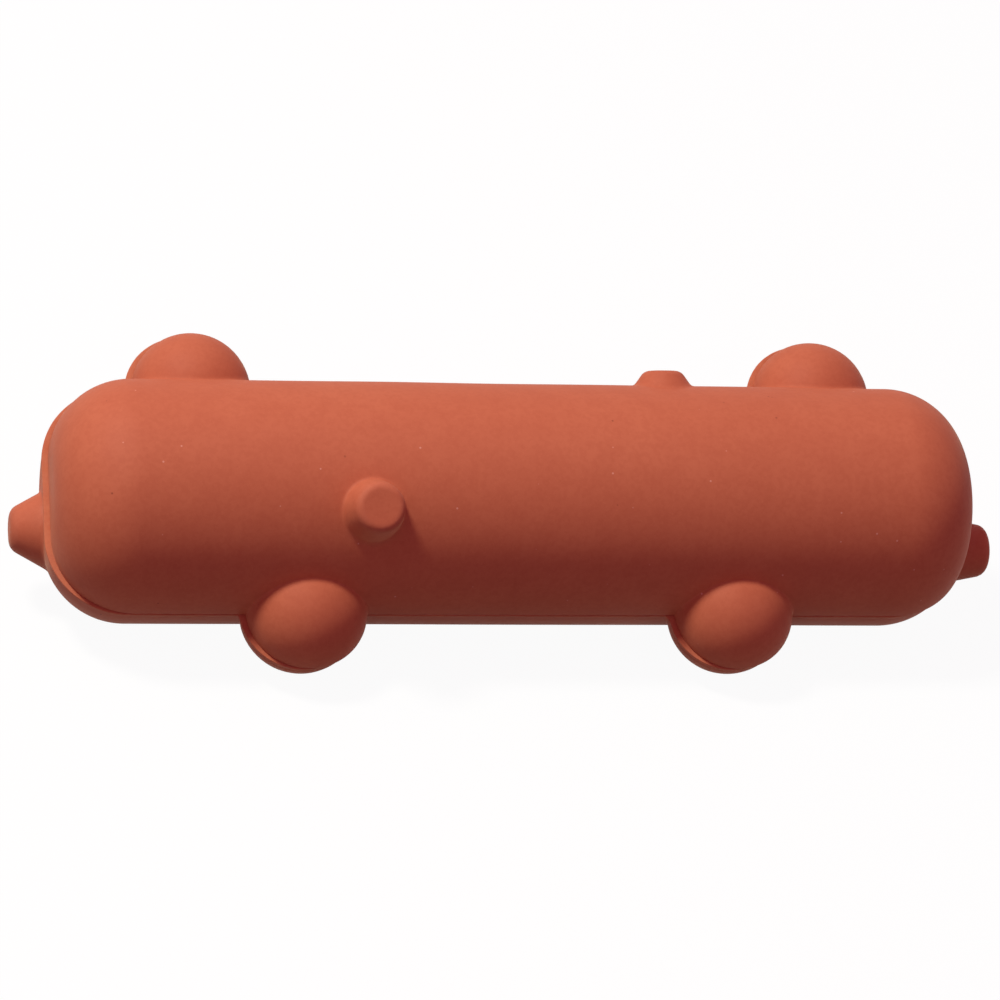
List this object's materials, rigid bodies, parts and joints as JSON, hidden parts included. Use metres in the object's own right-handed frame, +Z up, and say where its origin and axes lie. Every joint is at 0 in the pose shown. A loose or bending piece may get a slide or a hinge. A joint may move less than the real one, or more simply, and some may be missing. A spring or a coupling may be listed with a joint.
{
  "type": "rubber chew toy",
  "caption": "Hollow moulded rubber bar with rounded ends, round domes and short tapered studs, bonded along a raised seam, with a pressed-in squeaker.",
  "frame": {"origin": "on the table, at the bottom centre of the whole toy as it lies at rest, which is 0.95 mm from the middle of the bar towards the taller end stud", "axes": "+X along the bar, +Z up, -Y towards the side whose two domes rest on the table"},
  "size_m": [0.166, 0.0532, 0.04],
  "materials": {
    "natural_rubber": "dry matt terracotta rubber with a faint chalky bloom on its high spots",
    "seam_rubber": "thin matt rubber bond, slightly lighter than the shells",
    "squeaker_plastic": "plain off-white moulded plastic",
    "reed_film": "thin smooth pale film"
  },
  "bodies": {
    "toy": {"upper_shell": "natural_rubber", "lower_shell": "natural_rubber", "seam_bond": "seam_rubber", "squeaker_housing": "squeaker_plastic", "squeaker_cap": "squeaker_plastic", "reed_trough": "squeaker_plastic", "reed_wedge": "squeaker_plastic"},
    "reed": {"reed": "reed_film"}
  },
  "joints": [
    {"name": "reed_flex", "type": "hinge", "parent": "toy", "child": "reed", "pos_m": [-0.00095, 0.00769, 0.00677], "axis": [-1, 0, 0], "range_deg": [-2, 3.5], "stiffness_Nm_per_rad": 0.004}
  ]
}
